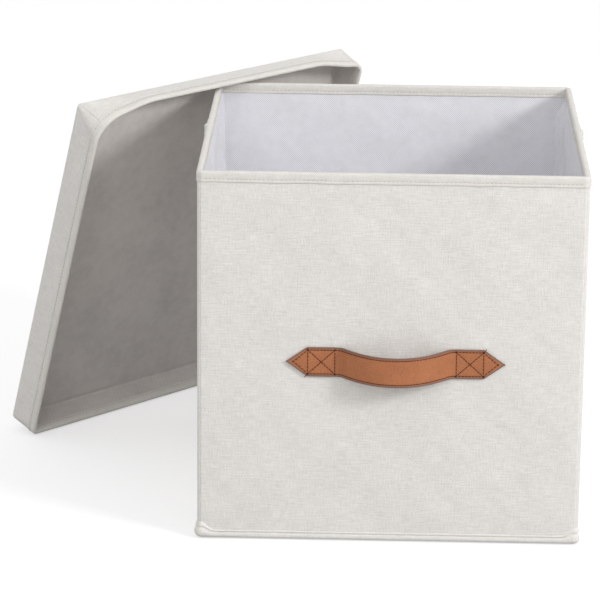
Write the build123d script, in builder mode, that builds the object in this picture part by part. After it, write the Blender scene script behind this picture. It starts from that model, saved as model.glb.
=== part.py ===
"""Fabric storage bin with a lift-off lid, a strap handle and walls that fold flat.

Millimetres. Origin at the centre of the bin's base, on the floor: +X to the right, +Y to the back, +Z up.
The lid stands on its lower hem behind the bin's back left corner and leans on the rim there.
"""

from build123d import *
import math
import os

# Bin, measured over the rim binding
BIN_SIDE = 330.0
BIN_HEIGHT = 327.0

# Layers of a wall, from outside to inside
BINDING = 0.6
COVER = 0.8
BOARD = 2.4
LINING = 0.6
BINDING_DROP = 9.0

# Clearances
PANEL_GAP = 0.3
CREASE_GAP = 0.8

# Base: cloth, padded edge band, loose insert
BASE_CLOTH = 1.0
BAND_TOP = 5.5
WALL_FOOT = 6.0
INSERT_SIDE = 318.0
INSERT_SKIN = 0.5
INSERT_LIFT = 0.3

# Handle: a two-layer strap, sewn flat at its pointed ends and bowed out between them
STRAP_WIDTH = 26.0
STRAP_LAYER = 1.2
HANDLE_X = 4.5
HANDLE_Z = 162.0
HANDLE_HALF = 93.0
TIP_LENGTH = 18.0
BOX_WIDTH = 23.0
BOW_HALF = 51.0
BOW_OUT = 22.0
BOW_ROOT_RADIUS = 12.0
STITCH_INSET = 2.4
THREAD = 0.6
THREAD_RISE = 0.3

# Lid, measured over the hem
LID_SIDE = 340.0
LID_DEPTH = 33.0
LID_COVER = 0.6
LID_BOARD = 1.8
LID_LINING = 0.6
LID_HEM = 0.6
LID_HEM_DROP = 9.0
MITRE_GAP = 0.1

# Where the lid stands. Its top skirt is bent up flat where it hangs over the rim, and square at its ends.
LID_TURN = 46.5
LID_SHIFT = 1.5
LID_TO_CORNER = 1.0
LID_TO_RIM = 3.3
BEND_LENGTH = 64.0

# Worked out from the above
half_bin = BIN_SIDE / 2
cover_face = half_bin - BINDING
board_face = cover_face - COVER
lining_face = board_face - BOARD
wall_inside = lining_face - LINING
rim_inside = wall_inside - BINDING
wall_top = BIN_HEIGHT - BINDING
panel_end = rim_inside - PANEL_GAP

os.makedirs("parts", exist_ok=True)


def finish(piece, name):
    """Labels a finished piece and writes it."""
    piece.part.label = name
    export_step(piece.part, f"parts/{name}.step")


def slab(name, plane, across, deep, up):
    """A flat rectangular sheet or board, between two limits each way in the plane's own frame."""
    with BuildPart() as piece:
        with BuildSketch(plane.offset(up[0])):
            with Locations(((across[0] + across[1]) / 2, (deep[0] + deep[1]) / 2)):
                Rectangle(across[1] - across[0], deep[1] - deep[0])
        extrude(amount=up[1] - up[0])
    finish(piece, name)


def mitred_side(far, near):
    """The corners of one side of a square frame about the origin, between two half widths, cut at 45 degrees."""
    return [
        (MITRE_GAP - far, -far),
        (far - MITRE_GAP, -far),
        (near - MITRE_GAP, -near),
        (MITRE_GAP - near, -near),
    ]


def wall_cover(name, plane, across, wraps):
    """The outer cloth of a wall. Where it wraps, it turns round the board's upright ends as well."""
    returns = COVER if wraps else 0
    with BuildPart() as piece:
        with BuildSketch(plane.offset(WALL_FOOT)):
            with Locations(((across[0] + across[1]) / 2, -(cover_face + wall_inside) / 2)):
                Rectangle(across[1] - across[0], cover_face - wall_inside)
            with Locations(((across[0] + across[1]) / 2, -(board_face + wall_inside) / 2)):
                Rectangle(across[1] - across[0] - 2 * returns, board_face - wall_inside, mode=Mode.SUBTRACT)
        extrude(amount=wall_top - WALL_FOOT)
    finish(piece, name)


def rim_binding(name, plane, across):
    """The hem of cover cloth folded over a wall's top edge: outer leaf, top and inner leaf."""
    middle = (across[0] + across[1]) / 2
    length = across[1] - across[0]
    with BuildPart() as piece:
        with BuildSketch(plane.offset(BIN_HEIGHT - BINDING_DROP)):
            with Locations((middle, -(half_bin + rim_inside) / 2)):
                Rectangle(length, half_bin - rim_inside)
        extrude(amount=BINDING_DROP)
        with BuildSketch(plane.offset(BIN_HEIGHT - BINDING_DROP)):
            with Locations((middle, -(cover_face + wall_inside) / 2)):
                Rectangle(length, cover_face - wall_inside)
        extrude(amount=BINDING_DROP - BINDING, mode=Mode.SUBTRACT)
    finish(piece, name)


def wall_panel(name, along, across, wraps=False):
    """One wall panel: cover, board, lining and rim binding. The plane's x runs along the wall and its y inwards."""
    plane = Plane(origin=(0, 0, 0), x_dir=along, z_dir=(0, 0, 1))
    inset = COVER if wraps else 0
    inner = (across[0] + inset, across[1] - inset)
    wall_cover(f"{name}_cover", plane, across, wraps)
    slab(f"{name}_board", plane, inner, (-board_face, -lining_face), (WALL_FOOT, wall_top))
    slab(f"{name}_lining", plane, inner, (-lining_face, -wall_inside), (WALL_FOOT, wall_top))
    rim_binding(f"{name}_rim_binding", plane, across)


# Walls. Front and back are full width; each side is two halves that meet at the crease.
full_width = (-cover_face, cover_face)
first_half = (-panel_end, -CREASE_GAP / 2)
second_half = (CREASE_GAP / 2, panel_end)
wall_panel("front", (1, 0, 0), full_width, wraps=True)
wall_panel("back", (-1, 0, 0), full_width, wraps=True)
wall_panel("left_back", (0, -1, 0), first_half)
wall_panel("left_front", (0, -1, 0), second_half)
wall_panel("right_front", (0, 1, 0), first_half)
wall_panel("right_back", (0, 1, 0), second_half)

# Base cloth, and the padded band round its edge as four mitred strips
slab("base_cloth", Plane.XY, full_width, full_width, (0, BASE_CLOTH))

with BuildPart() as base_edge_band:
    with BuildSketch(Plane.XY.offset(BASE_CLOTH)):
        with PolarLocations(0, 4):
            Polygon(*mitred_side(cover_face, wall_inside), align=None)
    extrude(amount=BAND_TOP - BASE_CLOTH)
finish(base_edge_band, "base_edge_band")

# Base insert: backing cloth, board, and a lining cloth turned down over the board's edges
insert_half = INSERT_SIDE / 2
insert_foot = BASE_CLOTH + INSERT_LIFT
insert_board_foot = insert_foot + INSERT_SKIN
insert_board_top = insert_board_foot + BOARD
insert_span = (INSERT_SKIN - insert_half, insert_half - INSERT_SKIN)
slab("insert_backing", Plane.XY, insert_span, insert_span, (insert_foot, insert_board_foot))
slab("insert_board", Plane.XY, insert_span, insert_span, (insert_board_foot, insert_board_top))

with BuildPart() as insert_lining:
    with BuildSketch(Plane.XY.offset(insert_foot)):
        Rectangle(INSERT_SIDE, INSERT_SIDE)
    extrude(amount=insert_board_top + INSERT_SKIN - insert_foot)
    with BuildSketch(Plane.XY.offset(insert_foot)):
        Rectangle(INSERT_SIDE - 2 * INSERT_SKIN, INSERT_SIDE - 2 * INSERT_SKIN)
    extrude(amount=insert_board_top - insert_foot, mode=Mode.SUBTRACT)
finish(insert_lining, "insert_lining")


# Handle. The bow is three arcs: out from the wall, round the bow, and back to the wall.
bow_turn = 2 * math.atan(BOW_OUT / BOW_HALF)
bow_radius = BOW_HALF / math.sin(bow_turn) - BOW_ROOT_RADIUS


def strap_edge(depth):
    """One face of the strap in plan, at a distance from the wall, from its left end to its right end."""
    turn = math.degrees(bow_turn)
    wall = -cover_face - depth
    left = Line((HANDLE_X - HANDLE_HALF, wall), (HANDLE_X - BOW_HALF, wall))
    out = JernArc(left @ 1, (1, 0), BOW_ROOT_RADIUS - depth, -turn)
    bow = JernArc(out @ 1, out % 1, bow_radius + depth, 2 * turn)
    back = JernArc(bow @ 1, bow % 1, BOW_ROOT_RADIUS - depth, -turn)
    right = Line(back @ 1, (HANDLE_X + HANDLE_HALF, wall))
    return left @ 0, right @ 1


def strap_layer(name, near, far):
    """A layer of the strap between two distances from the wall, with its ends cut to points."""
    shoulder = HANDLE_HALF - TIP_LENGTH
    half_width = STRAP_WIDTH / 2
    with BuildPart() as piece:
        with BuildSketch(Plane.XY.offset(HANDLE_Z - half_width)):
            with BuildLine():
                near_left, near_right = strap_edge(near)
                far_left, far_right = strap_edge(far)
                Line(near_left, far_left)
                Line(near_right, far_right)
            make_face()
        extrude(amount=STRAP_WIDTH)
        with BuildSketch(Plane.XZ.offset(cover_face)):
            with Locations((HANDLE_X, HANDLE_Z)):
                Polygon(
                    (-HANDLE_HALF, 0),
                    (-shoulder, -half_width),
                    (shoulder, -half_width),
                    (HANDLE_HALF, 0),
                    (shoulder, half_width),
                    (-shoulder, half_width),
                    align=None,
                )
        extrude(amount=BOW_OUT + far + 1, mode=Mode.INTERSECT)
    finish(piece, name)


strap_layer("handle_backing", 0, STRAP_LAYER)
strap_layer("handle_strap", STRAP_LAYER, 2 * STRAP_LAYER)

# Handle stitching: at each end a sewn square with a cross, and two lines that follow the point
def thread_line(start, end):
    """A straight line of thread in the current sketch."""
    run, rise = end[0] - start[0], end[1] - start[1]
    with Locations(((start[0] + end[0]) / 2, (start[1] + end[1]) / 2)):
        Rectangle(math.hypot(run, rise) + THREAD, THREAD, rotation=math.degrees(math.atan2(rise, run)))


with BuildPart() as handle_stitching:
    high = STRAP_WIDTH / 2 - STITCH_INSET
    inner = BOW_HALF + THREAD
    outer = inner + BOX_WIDTH
    tip = HANDLE_HALF - 2 * STITCH_INSET
    for side in (-1, 1):
        near_low, near_high = (side * inner, -high), (side * inner, high)
        far_low, far_high = (side * outer, -high), (side * outer, high)
        point = (side * tip, 0)
        with BuildSketch(Plane.XZ.offset(cover_face + 2 * STRAP_LAYER)):
            with Locations((HANDLE_X, HANDLE_Z)):
                thread_line(near_low, near_high)
                thread_line(far_low, far_high)
                thread_line(near_low, far_low)
                thread_line(near_high, far_high)
                thread_line(near_low, far_high)
                thread_line(near_high, far_low)
                thread_line(far_low, point)
                thread_line(far_high, point)
        extrude(amount=THREAD_RISE)
finish(handle_stitching, "handle_stitching")

# Lid. Its own frame: x along the floor, y up the panel, z out of the open side.
lid_board_start = LID_HEM + LID_COVER
lid_lining_start = lid_board_start + LID_BOARD
lid_clear_start = lid_lining_start + LID_LINING
lid_hem_inside = lid_clear_start + LID_HEM
lid_panel_inside = LID_COVER + LID_BOARD + LID_LINING
lid_edge = LID_DEPTH - LID_HEM

turn = math.radians(LID_TURN)
rest_height = BIN_HEIGHT + LID_TO_RIM + lid_hem_inside
lean = math.atan(LID_DEPTH / LID_SIDE) + math.acos(rest_height / math.hypot(LID_SIDE, LID_DEPTH))
along = Vector(math.cos(turn), math.sin(turn), 0)
toward = Vector(math.sin(turn), -math.cos(turn), 0)
upright = Vector(0, 0, 1)
opening = toward * math.cos(lean) - upright * math.sin(lean)
up_lid = upright * math.cos(lean) + toward * math.sin(lean)

# The panel's inner face passes just outside the bin's back left rim corner, at the rim's height
foot_height = LID_DEPTH * math.sin(lean)
up_panel = (BIN_HEIGHT - foot_height + lid_panel_inside * math.sin(lean)) / math.cos(lean)
reach = up_panel * math.sin(lean) + lid_panel_inside * math.cos(lean) + LID_TO_CORNER
rim_corner = Vector(-half_bin, half_bin, 0)
lid_origin = rim_corner - toward * reach - along * (LID_SIDE / 2 + LID_SHIFT) + upright * foot_height
lid_plane = Plane(origin=lid_origin, x_dir=along, z_dir=opening)


def lid_span(inset):
    """Both limits of the lid's square at a distance in from its outer side."""
    return (inset, LID_SIDE - inset)


between_sides = lid_span(lid_hem_inside + MITRE_GAP)


def skirt_section(across, bend):
    """A plane across the top skirt: x from the fold to the skirt's edge, y inwards through its layers."""
    fold = lid_origin + along * across + up_lid * LID_SIDE
    return Plane(origin=fold, x_dir=opening * math.cos(bend) + up_lid * math.sin(bend), z_dir=along)


def top_skirt(profile):
    """The top skirt of one layer, from its section's corners: bent up in the middle, twisted back at its ends."""
    low, high = between_sides
    with BuildPart() as lengths:
        for start, end in ((low, low + BEND_LENGTH - MITRE_GAP), (high, high - BEND_LENGTH + MITRE_GAP)):
            with BuildSketch(skirt_section(start, 0)):
                Polygon(*profile, align=None)
            with BuildSketch(skirt_section(end, lean)):
                Polygon(*profile, align=None)
            loft(ruled=True)
        with BuildSketch(skirt_section(low + BEND_LENGTH, lean)):
            Polygon(*profile, align=None)
        extrude(amount=high - low - 2 * BEND_LENGTH)
    return lengths.part


def strip(fold_side, edge_side, outer, inner):
    """The section of a flat layer of the skirt."""
    return [(fold_side, outer), (edge_side, outer), (edge_side, inner), (fold_side, inner)]


def lid_tray(name, outer, inner, floor, inside):
    """A cloth layer of the lid: its floor between two depths and its skirts between two insets."""
    wall = inner - outer
    bent_skirt = top_skirt(strip(inside, lid_edge, outer, inner))
    with BuildPart() as piece:
        with BuildSketch(lid_plane.offset(floor)):
            with Locations((LID_SIDE / 2, LID_SIDE / 2)):
                Rectangle(LID_SIDE - 2 * outer, LID_SIDE - 2 * outer)
        extrude(amount=lid_edge - floor)
        with BuildSketch(lid_plane.offset(inside)):
            with Locations((LID_SIDE / 2, (LID_SIDE + wall) / 2)):
                Rectangle(LID_SIDE - 2 * inner, LID_SIDE - 2 * outer - wall)
        extrude(amount=lid_edge - inside, mode=Mode.SUBTRACT)
        add(bent_skirt)
    finish(piece, name)


lid_tray("lid_cover", LID_HEM, lid_board_start, 0, LID_COVER)
lid_tray("lid_lining", lid_lining_start, lid_clear_start, LID_COVER + LID_BOARD, lid_panel_inside)

board_span = lid_span(lid_board_start)
slab("lid_panel_board", lid_plane, board_span, board_span, (LID_COVER, LID_COVER + LID_BOARD))

# Skirt boards: the top and bottom ones fit between the side ones
skirt_depth = (LID_COVER + LID_BOARD, lid_edge)
low_strip = (lid_board_start, lid_lining_start)
high_strip = (LID_SIDE - lid_lining_start, LID_SIDE - lid_board_start)
slab("lid_bottom_skirt_board", lid_plane, between_sides, low_strip, skirt_depth)
slab("lid_left_skirt_board", lid_plane, low_strip, board_span, skirt_depth)
slab("lid_right_skirt_board", lid_plane, high_strip, board_span, skirt_depth)

bent_board = top_skirt(strip(*skirt_depth, lid_board_start, lid_lining_start))
with BuildPart() as lid_top_skirt_board:
    add(bent_board)
finish(lid_top_skirt_board, "lid_top_skirt_board")

# Hem: four lengths of cloth folded over the skirts' edges
hem_start = LID_DEPTH - LID_HEM_DROP
hem_profile = [
    (hem_start, 0),
    (LID_DEPTH, 0),
    (LID_DEPTH, lid_hem_inside),
    (hem_start, lid_hem_inside),
    (hem_start, lid_clear_start),
    (lid_edge, lid_clear_start),
    (lid_edge, LID_HEM),
    (hem_start, LID_HEM),
]
hem_length = between_sides[1] - between_sides[0]
bent_hem = top_skirt(hem_profile)
with BuildPart() as lid_hem:
    for corner, inward, run in (
        (lid_origin, along, up_lid),
        (lid_origin + along * LID_SIDE, -along, up_lid),
        (lid_origin, up_lid, along),
    ):
        section = Plane(
            origin=corner + run * between_sides[0], x_dir=opening, z_dir=opening.cross(inward)
        )
        with BuildSketch(section):
            Polygon(*hem_profile, align=None)
        extrude(amount=hem_length * section.z_dir.dot(run))
    add(bent_hem)
finish(lid_hem, "lid_hem")

print(f"lid leans {math.degrees(lean):.1f} degrees and stands at {tuple(round(v, 1) for v in lid_origin)}")
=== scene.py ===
"""Fabric storage bin with its lid standing behind it: cloths, boards, strap handle and stitching."""

import math

import bmesh
import bpy
import numpy as np
from mathutils import Matrix, Vector


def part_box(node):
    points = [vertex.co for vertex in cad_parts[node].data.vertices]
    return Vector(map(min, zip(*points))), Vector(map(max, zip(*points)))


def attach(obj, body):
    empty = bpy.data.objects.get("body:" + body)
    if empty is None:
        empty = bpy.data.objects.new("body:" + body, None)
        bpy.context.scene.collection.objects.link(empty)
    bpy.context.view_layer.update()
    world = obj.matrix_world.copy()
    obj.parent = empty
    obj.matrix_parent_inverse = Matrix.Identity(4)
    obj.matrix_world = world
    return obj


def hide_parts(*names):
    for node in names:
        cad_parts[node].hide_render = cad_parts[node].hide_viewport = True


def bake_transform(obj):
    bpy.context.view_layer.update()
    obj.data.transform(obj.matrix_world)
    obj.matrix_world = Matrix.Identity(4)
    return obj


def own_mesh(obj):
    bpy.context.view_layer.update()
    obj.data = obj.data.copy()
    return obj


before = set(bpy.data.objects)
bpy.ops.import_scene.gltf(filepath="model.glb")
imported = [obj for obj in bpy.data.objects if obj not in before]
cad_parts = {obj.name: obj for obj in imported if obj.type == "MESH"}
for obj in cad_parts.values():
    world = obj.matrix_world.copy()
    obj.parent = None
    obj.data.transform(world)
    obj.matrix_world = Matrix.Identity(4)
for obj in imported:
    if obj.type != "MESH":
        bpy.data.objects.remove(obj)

MM = 0.001
UP = np.array([0.0, 0.0, 1.0])
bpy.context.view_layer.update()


# ---------------------------------------------------------------- sewing-room helpers


def placed(name, data):
    """A new object in the scene."""
    made = bpy.data.objects.new(name, data)
    bpy.context.scene.collection.objects.link(made)
    return made


def grid(*parts):
    """Grids of numbers, spread to one size and joined as the parts of one grid of places."""
    return np.stack(np.broadcast_arrays(*parts), axis=-1)


def run_of(*axes):
    """How far along a line each of its points is, from the parts of the points."""
    steps = np.diff(np.stack(axes, axis=-1), axis=0)
    return np.concatenate([[0], np.cumsum(np.linalg.norm(steps, axis=1))])


def closed_run(x, y):
    """How far along a closed line each point is, and the first one again at the end."""
    return run_of(np.append(x, x[0]), np.append(y, y[0]))


def quarter_turn(quarter):
    """The axes of one of the four sides, as rows."""
    turn = quarter * math.pi / 2
    return np.array([[math.cos(turn), math.sin(turn)], [-math.sin(turn), math.cos(turn)]])


def surface(name, points, flat, around=False):
    """A mesh from rows of points, with a map of where each lies on the flat cloth, in metres."""
    rows, columns = points.shape[:2]
    order = np.arange(rows * columns).reshape(rows, columns)
    if around:
        order = np.concatenate([order, order[:, :1]], axis=1)
    return faced(name, points.reshape(-1, 3), [(order, flat)])


def faced(name, points, patches):
    """A mesh from points and grids of their numbers, each with its own places on the flat cloth."""
    quads, places = [], []
    for order, flat in patches:
        for source, target in ((order, quads), (flat, places)):
            corners = (source[:-1, :-1], source[:-1, 1:], source[1:, 1:], source[1:, :-1])
            target.append(np.stack(corners, axis=2).reshape(-1, 4, *source.shape[2:]))
    mesh = bpy.data.meshes.new(name)
    mesh.from_pydata(points.tolist(), [], np.concatenate(quads).tolist())
    cloth = mesh.uv_layers.new(name="cloth")
    cloth.uv.foreach_set("vector", np.concatenate(places).reshape(-1).astype(np.float32))
    return placed(name, mesh)


def settle(piece, sharp=50):
    """Makes a piece and its modifiers one plain mesh, smooth except over sharp edges."""
    graph = bpy.context.evaluated_depsgraph_get()
    mesh = bpy.data.meshes.new_from_object(piece.evaluated_get(graph))
    piece.modifiers.clear()
    piece.data = mesh
    mesh.polygons.foreach_set("use_smooth", [True] * len(mesh.polygons))
    mesh.set_sharp_from_angle(angle=math.radians(sharp))
    return piece


def thicken(piece, thickness, rounding=0.0, sharp=50):
    """Gives a surface its thickness, to the inside, and rounds its edges."""
    solid = piece.modifiers.new("thickness", "SOLIDIFY")
    solid.thickness = thickness
    solid.offset = -1
    solid.use_even_offset = True
    if rounding:
        bevel = piece.modifiers.new("rounding", "BEVEL")
        bevel.width = rounding
        bevel.segments = 2
        bevel.angle_limit = math.radians(60)
    return settle(piece, sharp)


def finish_piece(piece, material, body=None, stands_for=()):
    """Gives a piece its finish, its body and the nodes that it stands for."""
    piece.data.materials.clear()
    piece.data.materials.append(material)
    if body:
        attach(piece, body)
    if stands_for:
        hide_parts(*stands_for)
    return piece


def waviness(across, up, wavelength, seed):
    """A smooth random relief from about -1 to 1 over flat cloth."""
    draw = np.random.default_rng(seed)
    total = np.zeros(np.broadcast(across, up).shape)
    waves = 7
    for _ in range(waves):
        angle, phase = draw.uniform(0, 2 * math.pi, 2)
        pitch = 2 * math.pi / (wavelength * draw.uniform(0.6, 1.6))
        total += np.sin(pitch * (across * math.cos(angle) + up * math.sin(angle)) + phase)
    return total / math.sqrt(waves)


def smooth_step(value):
    """0 below 0, 1 above 1 and an S between them."""
    value = np.clip(value, 0, 1)
    return value * value * (3 - 2 * value)


def bell(distance, width):
    """1 at no distance and falling away over a width."""
    return np.exp(-((distance / width) ** 2))


def spaced(start, end, step, close=(0.0, 0.35 * MM, 0.8 * MM, 1.5 * MM, 2.5 * MM)):
    """Places from start to end about a step apart, and closer together at both ends."""
    close = np.array(close)
    middle = np.linspace(start + close[-1], end - close[-1], max(2, round((end - start) / step)))
    return np.concatenate([start + close[:-1], middle, (end - close[:-1])[::-1]])


# ---------------------------------------------------------------- finishes


def fill_in(tree, made, inputs):
    """Gives a node its values and links."""
    for key, value in inputs.items():
        if isinstance(value, bpy.types.NodeSocket):
            tree.links.new(value, made.inputs[key])
        else:
            made.inputs[key].default_value = value
    return made


def node(tree, kind, inputs=None, **settings):
    """A shader node with its settings, values and links."""
    made = tree.nodes.new(kind)
    for key, value in settings.items():
        setattr(made, key, value)
    return fill_in(tree, made, inputs or {})


def calc(tree, operation, *values, clamp=False):
    """The result of a Math node."""
    made = node(tree, "ShaderNodeMath", dict(enumerate(values)), operation=operation, use_clamp=clamp)
    return made.outputs[0]


def stretched(tree, vector, factors):
    """A vector multiplied part by part."""
    return node(tree, "ShaderNodeVectorMath", {0: vector, 1: factors}, operation="MULTIPLY").outputs[0]


def grain(tree, vector, scale, detail=2.0, roughness=0.5):
    """Noise about zero, from about -0.5 to 0.5."""
    inputs = {"Vector": vector, "Scale": scale, "Detail": detail, "Roughness": roughness}
    made = node(tree, "ShaderNodeTexNoise", inputs)
    return calc(tree, "SUBTRACT", made.outputs["Fac"], 0.5)


def effect(name, inputs, outputs):
    """An empty shader group with named inputs and outputs."""
    tree = bpy.data.node_groups.new(name, "ShaderNodeTree")
    for label, (kind, value) in inputs.items():
        made = tree.interface.new_socket(name=label, in_out="INPUT", socket_type=kind)
        if value is not None:
            made.default_value = value
    for label in outputs:
        tree.interface.new_socket(name=label, in_out="OUTPUT", socket_type="NodeSocketFloat")
    return tree, tree.nodes.new("NodeGroupInput").outputs, tree.nodes.new("NodeGroupOutput").inputs


FLOAT = "NodeSocketFloat"
VECTOR = "NodeSocketVector"


def weave_effect():
    """Plain weave with uneven yarns, slubs both ways and dark flecks."""
    tree, given, result = effect(
        "weave",
        {"Cloth": (VECTOR, None), "Yarns": (FLOAT, 1500.0), "Slub": (FLOAT, 0.5), "Fleck": (FLOAT, 0.5)},
        ("Height", "Tone"),
    )
    drift = calc(tree, "MULTIPLY", grain(tree, given["Cloth"], 160.0), 0.5 * MM)
    axes = node(tree, "ShaderNodeSeparateXYZ", {0: given["Cloth"]}).outputs
    turns = calc(tree, "MULTIPLY", given["Yarns"], 2 * math.pi)
    warp = calc(tree, "SINE", calc(tree, "MULTIPLY", calc(tree, "ADD", axes[0], drift), turns))
    weft = calc(tree, "SINE", calc(tree, "MULTIPLY", calc(tree, "ADD", axes[1], drift), turns))
    crossing = calc(tree, "MULTIPLY", warp, weft)
    level = grain(tree, stretched(tree, given["Cloth"], (90.0, 760.0, 1.0)), 1.0, 3.0, 0.6)
    plumb = grain(tree, stretched(tree, given["Cloth"], (760.0, 110.0, 1.0)), 1.0, 3.0, 0.6)
    both = calc(tree, "MULTIPLY_ADD", plumb, 0.7, level)
    slub = calc(tree, "MULTIPLY", both, given["Slub"])
    specks = grain(tree, stretched(tree, given["Cloth"], (420.0, 1100.0, 1.0)), 1.0, 1.0)
    dark = calc(tree, "MULTIPLY", calc(tree, "SUBTRACT", specks, 0.17, clamp=True), 9.0, clamp=True)
    dark = calc(tree, "MULTIPLY", dark, given["Fleck"])
    tree.links.new(calc(tree, "MULTIPLY_ADD", crossing, 0.25, slub), result["Height"])
    tone = calc(tree, "MULTIPLY_ADD", crossing, 0.12, slub)
    tree.links.new(calc(tree, "SUBTRACT", tone, dark), result["Tone"])
    return tree


def emboss_effect():
    """Nonwoven pressed with a diagonal lattice of small diamonds, with loose fibres between them."""
    tree, given, result = effect(
        "emboss", {"Cloth": (VECTOR, None), "Pitch": (FLOAT, 1.5 * MM)}, ("Height", "Tone")
    )
    axes = node(tree, "ShaderNodeSeparateXYZ", {0: given["Cloth"]}).outputs
    turns = calc(tree, "DIVIDE", 2 * math.pi, given["Pitch"])
    rising = calc(tree, "COSINE", calc(tree, "MULTIPLY", calc(tree, "ADD", axes[0], axes[1]), turns))
    falling = calc(tree, "COSINE", calc(tree, "MULTIPLY", calc(tree, "SUBTRACT", axes[0], axes[1]), turns))
    pressed = calc(tree, "SUBTRACT", calc(tree, "ADD", rising, falling), 0.3, clamp=True)
    fibres = grain(tree, given["Cloth"], 1600.0, 3.0, 0.6)
    height = calc(tree, "MULTIPLY_ADD", pressed, -0.6, calc(tree, "MULTIPLY", fibres, 0.6))
    tree.links.new(height, result["Height"])
    tree.links.new(calc(tree, "MULTIPLY_ADD", pressed, -1.0, calc(tree, "ADD", fibres, 0.4)), result["Tone"])
    return tree


def mottle_effect():
    """Slow unevenness of colour: handling, dye and dust."""
    tree, given, result = effect("mottle", {"Place": (VECTOR, None), "Patch": (FLOAT, 30.0)}, ("Tone",))
    broad = grain(tree, given["Place"], given["Patch"], 3.0, 0.6)
    fine = grain(tree, stretched(tree, given["Place"], (7.0, 7.0, 7.0)), given["Patch"], 2.0)
    tree.links.new(calc(tree, "MULTIPLY_ADD", fine, 0.5, broad), result["Tone"])
    return tree


def pebble_effect():
    """Pressed leather grain: rounded pebbles with fine creases between them."""
    inputs = {"Place": (VECTOR, None), "Size": (FLOAT, 900.0)}
    tree, given, result = effect("pebble", inputs, ("Height", "Tone"))
    noise = node(tree, "ShaderNodeTexNoise", {"Vector": given["Place"], "Scale": 500.0})
    shifted = stretched(tree, noise.outputs["Color"], (MM,) * 3)
    place = node(tree, "ShaderNodeVectorMath", {0: given["Place"], 1: shifted}, operation="ADD")
    cells = node(
        tree,
        "ShaderNodeTexVoronoi",
        {"Vector": place.outputs[0], "Scale": given["Size"]},
        feature="SMOOTH_F1",
    )
    height = calc(tree, "SUBTRACT", 1.0, cells.outputs["Distance"])
    tree.links.new(height, result["Height"])
    tree.links.new(calc(tree, "SUBTRACT", height, 0.55), result["Tone"])
    return tree


WEAVE = weave_effect()
EMBOSS = emboss_effect()
MOTTLE = mottle_effect()
PEBBLE = pebble_effect()


def use(tree, group, **values):
    """A shared effect placed in a material with its own values."""
    made = tree.nodes.new("ShaderNodeGroup")
    made.node_tree = group
    return fill_in(tree, made, values).outputs


def blank(name, roughness, sheen=0.0, specular=0.3):
    """A new material, its tree and its shader."""
    material = bpy.data.materials.new(name)
    material.use_nodes = True
    tree = material.node_tree
    shader = tree.nodes["Principled BSDF"]
    shader.inputs["Roughness"].default_value = roughness
    shader.inputs["Specular IOR Level"].default_value = specular
    shader.inputs["Sheen Weight"].default_value = sheen
    shader.inputs["Sheen Roughness"].default_value = 0.6
    return material, tree, shader


def on_cloth(tree):
    """Where a point lies on the flat cloth, in metres."""
    return node(tree, "ShaderNodeUVMap", uv_map="cloth").outputs["UV"]


def in_space(tree):
    """Where a point lies on its object, in metres."""
    return node(tree, "ShaderNodeTexCoord").outputs["Object"]


def toned(tree, shader, dark, light, tone, strength=1.0):
    """Colours a shader between two tones of one colour."""
    factor = calc(tree, "MULTIPLY_ADD", tone, strength, 0.5, clamp=True)
    mix = node(
        tree,
        "ShaderNodeMix",
        {"Factor": factor, "A": (*dark, 1.0), "B": (*light, 1.0)},
        data_type="RGBA",
    )
    tree.links.new(mix.outputs["Result"], shader.inputs["Base Color"])
    return mix.outputs["Result"]


def relief(tree, shader, height, distance, strength=1.0):
    """Raises a shader's surface by a height in metres."""
    bump = node(tree, "ShaderNodeBump", {"Height": height, "Distance": distance, "Strength": strength})
    tree.links.new(bump.outputs["Normal"], shader.inputs["Normal"])


def roughen(tree, shader, tone, amount, level):
    """Makes a shader's roughness uneven about a level."""
    tree.links.new(calc(tree, "MULTIPLY_ADD", tone, amount, level), shader.inputs["Roughness"])


def shades(colour, spread):
    """A darker and a lighter tone of a colour."""
    return [c * (1 - spread) for c in colour], [min(1.0, c * (1 + spread)) for c in colour]


def woven(name, colour, spread, slub, fleck, yarns, bump):
    """Woven cloth, from fine hem cloth to slubby linen."""
    material, tree, shader = blank(name, 0.92, sheen=0.15)
    cloth = on_cloth(tree)
    weave = use(tree, WEAVE, Cloth=cloth, Yarns=yarns, Slub=slub, Fleck=fleck)
    patches = use(tree, MOTTLE, Place=cloth, Patch=24.0)["Tone"]
    dark, light = shades(colour, spread)
    toned(tree, shader, dark, light, calc(tree, "MULTIPLY_ADD", patches, 0.35, weave["Tone"]))
    roughen(tree, shader, weave["Tone"], 0.08, 0.92)
    relief(tree, shader, weave["Height"], bump)
    return material


def nonwoven(name, colour, spread=0.1, cloud=0.5):
    """Pale lining cloth pressed with small diamonds."""
    material, tree, shader = blank(name, 0.85, sheen=0.1, specular=0.25)
    cloth = on_cloth(tree)
    emboss = use(tree, EMBOSS, Cloth=cloth, Pitch=1.9 * MM)
    patches = use(tree, MOTTLE, Place=cloth, Patch=16.0)["Tone"]
    dark, light = shades(colour, spread)
    toned(tree, shader, dark, light, calc(tree, "MULTIPLY_ADD", patches, cloud, emboss["Tone"]))
    roughen(tree, shader, emboss["Tone"], 0.1, 0.85)
    relief(tree, shader, emboss["Height"], 0.15 * MM)
    return material


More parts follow.
